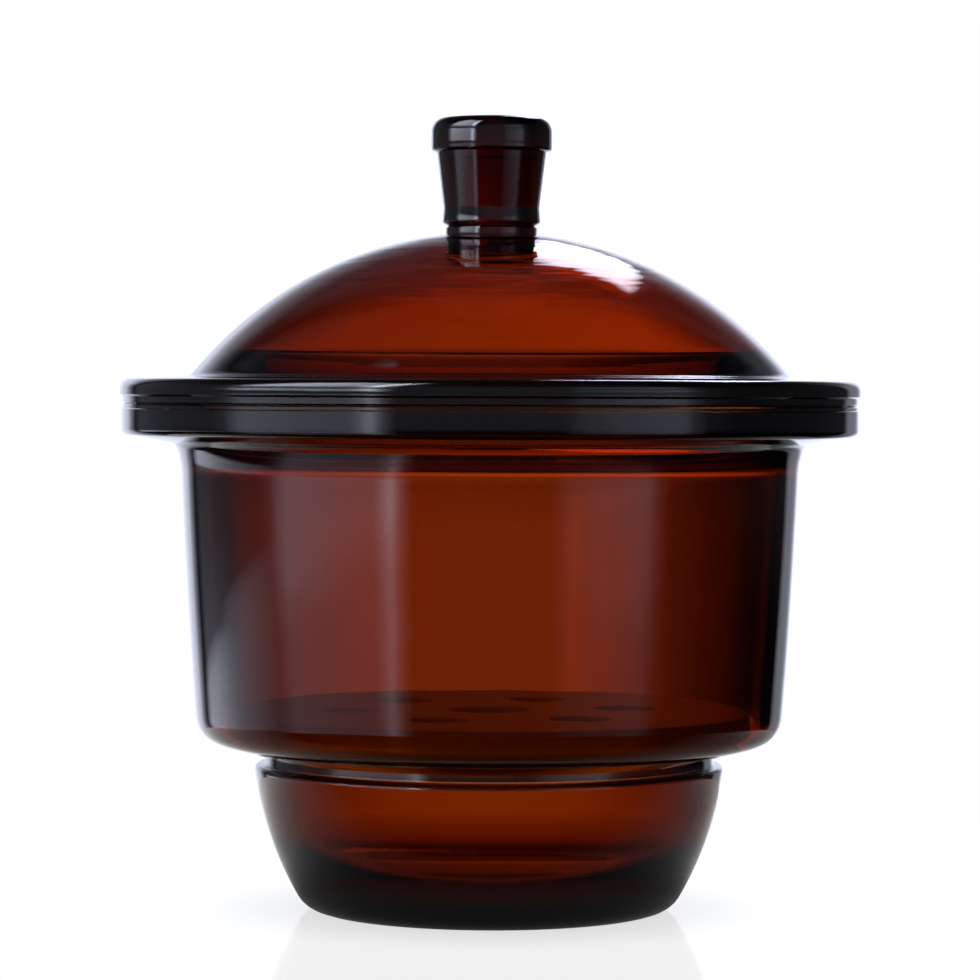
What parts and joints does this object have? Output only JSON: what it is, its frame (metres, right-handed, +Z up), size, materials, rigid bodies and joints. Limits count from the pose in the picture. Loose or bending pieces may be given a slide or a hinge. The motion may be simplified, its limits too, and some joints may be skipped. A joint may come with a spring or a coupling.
{
  "type": "desiccator",
  "caption": "Footed amber glass desiccator whose domed, knobbed lid slides on a greased ground flange, with a perforated porcelain plate above a well for drying agent.",
  "frame": {"origin": "centre of the base, on the bench", "axes": "+Z up along the axis of the vessel; X and Y are level, and the lid slides along X"},
  "size_m": [0.1546, 0.1546, 0.1659],
  "materials": {
    "amber_glass": "clear, fire-polished, with ground joint faces",
    "porcelain": "white glaze"
  },
  "bodies": {
    "vessel": {"body": "amber_glass", "plate": "porcelain"},
    "cover": {"lid": "amber_glass"}
  },
  "joints": [
    {"name": "lid_slide", "type": "slide", "parent": "vessel", "child": "cover", "axis": [1, 0, 0], "range_m": [-0.07, 0.07]}
  ]
}
